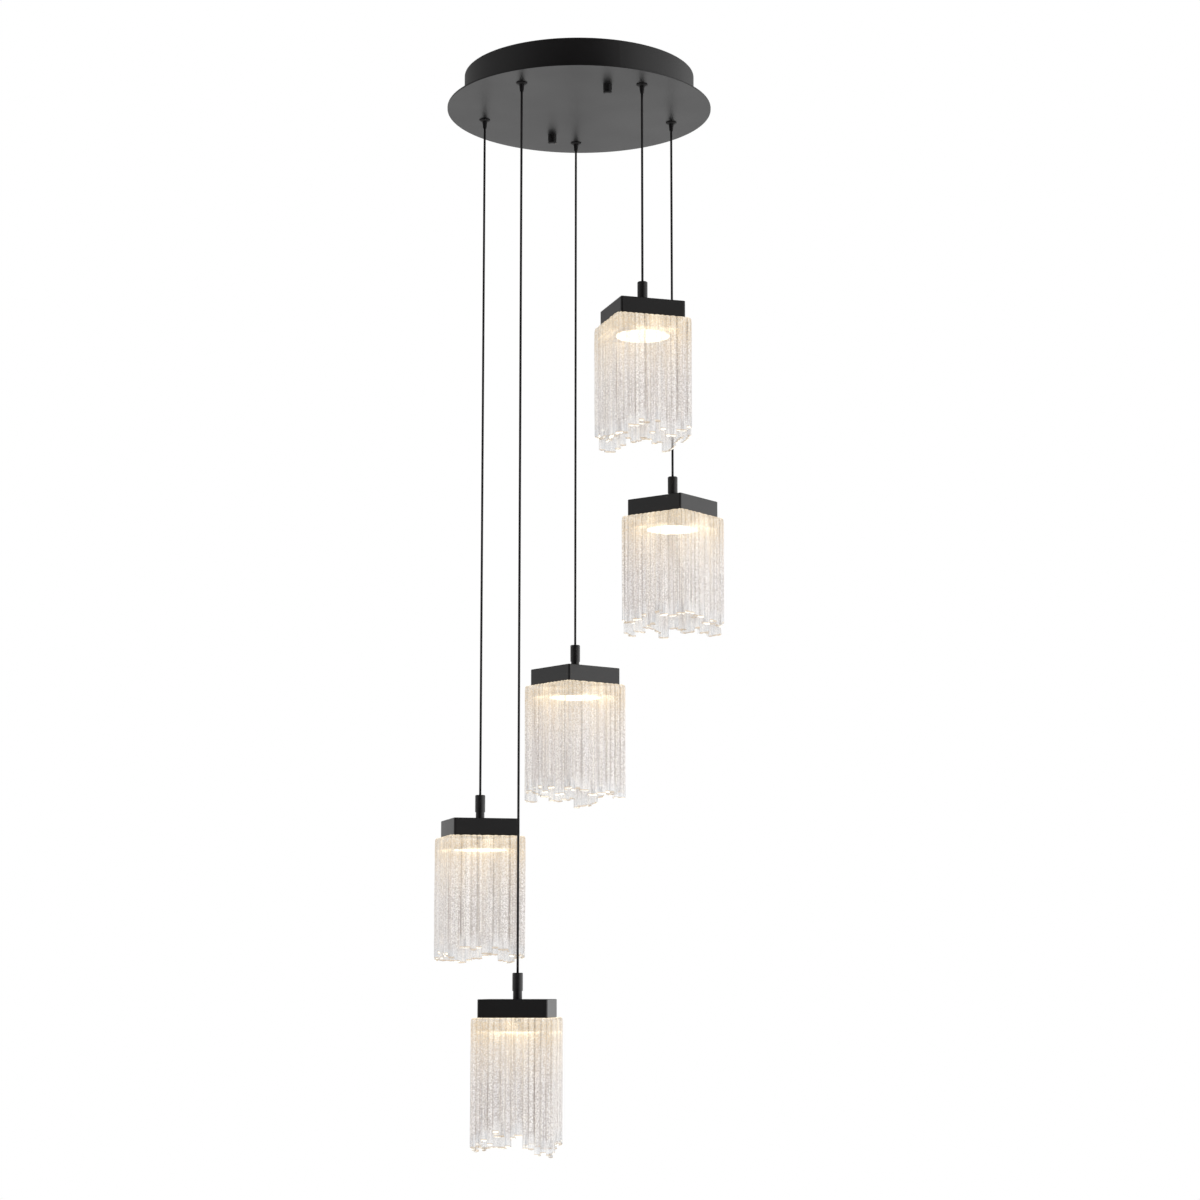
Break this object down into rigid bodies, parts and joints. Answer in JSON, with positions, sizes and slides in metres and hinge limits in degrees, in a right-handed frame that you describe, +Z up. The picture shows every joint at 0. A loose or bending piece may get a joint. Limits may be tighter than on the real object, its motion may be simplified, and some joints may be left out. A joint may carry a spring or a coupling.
{
  "type": "cluster pendant",
  "caption": "Round black ceiling canopy with square clear bubble-glass rod shades over LED discs, hung in a falling spiral on thin adjustable cords.",
  "frame": {"origin": "centre of the canopy on the ceiling plane, midway between the bracket's junction-box slots", "axes": "+Z up into the ceiling, so the whole light hangs below the origin; +X along the mounting bracket, through both cap nuts; cords stand round +Z from 18 degrees at the highest pendant"},
  "size_m": [0.366, 0.3743, 1.3996],
  "materials": {
    "painted_black": "fine-textured satin black powder coat",
    "zinc_steel": "zinc-plated steel",
    "black_nylon": "moulded black nylon",
    "black_cord": "black PVC-jacketed suspension cord",
    "lead_red": "PVC insulation",
    "earth_green": "PVC insulation",
    "driver_white": "moulded white polycarbonate",
    "terminal_white": "moulded white polyamide",
    "bubble_glass": "clear cast glass full of fine bubbles",
    "led_aluminium": "bare spun aluminium",
    "led_board_white": "white solder mask",
    "opal_diffuser": "opal acrylic, lit warm white"
  },
  "bodies": {
    "canopy": {"canopy_drum": "painted_black", "canopy_plate": "painted_black", "mounting_bracket": "zinc_steel", "bracket_studs": "zinc_steel", "stud_nuts": "zinc_steel", "led_driver": "driver_white", "canopy_nuts": "zinc_steel", "terminal_block": "terminal_white", "cord_glands": "black_nylon", "gland_nuts": "black_nylon", "cord_tails": "black_cord", "driver_leads": "lead_red", "ground_lead": "earth_green"},
    "cap_nut_a": {"cap_nut_a": "painted_black"},
    "cap_nut_b": {"cap_nut_b": "painted_black"},
    "hanging_cord_1": {"cord_1": "black_cord"},
    "grip_1": {"cord_grip_1": "painted_black"},
    "pendant_1": {"neck_1": "painted_black", "cap_1": "painted_black", "glass_1": "bubble_glass", "clamp_nut_1": "zinc_steel", "led_housing_1": "led_aluminium", "led_board_1": "led_board_white", "diffuser_1": "opal_diffuser"},
    "hanging_cord_2": {"cord_2": "black_cord"},
    "grip_2": {"cord_grip_2": "painted_black"},
    "pendant_2": {"neck_2": "painted_black", "cap_2": "painted_black", "glass_2": "bubble_glass", "clamp_nut_2": "zinc_steel", "led_housing_2": "led_aluminium", "led_board_2": "led_board_white", "diffuser_2": "opal_diffuser"},
    "hanging_cord_3": {"cord_3": "black_cord"},
    "grip_3": {"cord_grip_3": "painted_black"},
    "pendant_3": {"neck_3": "painted_black", "cap_3": "painted_black", "glass_3": "bubble_glass", "clamp_nut_3": "zinc_steel", "led_housing_3": "led_aluminium", "led_board_3": "led_board_white", "diffuser_3": "opal_diffuser"},
    "hanging_cord_4": {"cord_4": "black_cord"},
    "grip_4": {"cord_grip_4": "painted_black"},
    "pendant_4": {"neck_4": "painted_black", "cap_4": "painted_black", "glass_4": "bubble_glass", "clamp_nut_4": "zinc_steel", "led_housing_4": "led_aluminium", "led_board_4": "led_board_white", "diffuser_4": "opal_diffuser"},
    "hanging_cord_5": {"cord_5": "black_cord"},
    "grip_5": {"cord_grip_5": "painted_black"},
    "pendant_5": {"neck_5": "painted_black", "cap_5": "painted_black", "glass_5": "bubble_glass", "clamp_nut_5": "zinc_steel", "led_housing_5": "led_aluminium", "led_board_5": "led_board_white", "diffuser_5": "opal_diffuser"}
  },
  "joints": [
    {"name": "cap_nut_a_turn", "type": "hinge", "parent": "canopy", "child": "cap_nut_a", "pos_m": [0.108, 0, -0.045], "axis": [0, 0, 1], "continuous": true},
    {"name": "cap_nut_b_turn", "type": "hinge", "parent": "canopy", "child": "cap_nut_b", "pos_m": [-0.108, 0, -0.045], "axis": [0, 0, 1], "continuous": true},
    {"name": "swing_1", "type": "hinge", "parent": "canopy", "child": "hanging_cord_1", "pos_m": [0.12554, 0.04079, -0.0556], "axis": [0.309, -0.9511, 0], "range_deg": [-3, 15]},
    {"name": "height_1", "type": "slide", "parent": "hanging_cord_1", "child": "grip_1", "axis": [0, 0, 1], "range_m": [0, 0.12], "deforming": ["cord_1"]},
    {"name": "turn_1", "type": "hinge", "parent": "grip_1", "child": "pendant_1", "pos_m": [0.12554, 0.04079, -0.3296], "axis": [0, 0, 1], "range_deg": [-180, 180]},
    {"name": "swing_2", "type": "hinge", "parent": "canopy", "child": "hanging_cord_2", "pos_m": [0, 0.132, -0.0556], "axis": [1, 0, 0], "range_deg": [-3, 15]},
    {"name": "height_2", "type": "slide", "parent": "hanging_cord_2", "child": "grip_2", "axis": [0, 0, 1], "range_m": [0, 0.12], "deforming": ["cord_2"]},
    {"name": "turn_2", "type": "hinge", "parent": "grip_2", "child": "pendant_2", "pos_m": [0, 0.132, -0.5536], "axis": [0, 0, 1], "range_deg": [-180, 180]},
    {"name": "swing_3", "type": "hinge", "parent": "canopy", "child": "hanging_cord_3", "pos_m": [-0.12554, 0.04079, -0.0556], "axis": [0.309, 0.9511, 0], "range_deg": [-3, 15]},
    {"name": "height_3", "type": "slide", "parent": "hanging_cord_3", "child": "grip_3", "axis": [0, 0, 1], "range_m": [0, 0.12], "deforming": ["cord_3"]},
    {"name": "turn_3", "type": "hinge", "parent": "grip_3", "child": "pendant_3", "pos_m": [-0.12554, 0.04079, -0.7666], "axis": [0, 0, 1], "range_deg": [-180, 180]},
    {"name": "swing_4", "type": "hinge", "parent": "canopy", "child": "hanging_cord_4", "pos_m": [-0.07759, -0.10679, -0.0556], "axis": [-0.809, 0.5878, 0], "range_deg": [-3, 15]},
    {"name": "height_4", "type": "slide", "parent": "hanging_cord_4", "child": "grip_4", "axis": [0, 0, 1], "range_m": [0, 0.12], "deforming": ["cord_4"]},
    {"name": "turn_4", "type": "hinge", "parent": "grip_4", "child": "pendant_4", "pos_m": [-0.07759, -0.10679, -0.9746], "axis": [0, 0, 1], "range_deg": [-180, 180]},
    {"name": "swing_5", "type": "hinge", "parent": "canopy", "child": "hanging_cord_5", "pos_m": [0.07759, -0.10679, -0.0556], "axis": [-0.809, -0.5878, 0], "range_deg": [-3, 15]},
    {"name": "height_5", "type": "slide", "parent": "hanging_cord_5", "child": "grip_5", "axis": [0, 0, 1], "range_m": [0, 0.12], "deforming": ["cord_5"]},
    {"name": "turn_5", "type": "hinge", "parent": "grip_5", "child": "pendant_5", "pos_m": [0.07759, -0.10679, -1.2026], "axis": [0, 0, 1], "range_deg": [-180, 180]}
  ]
}
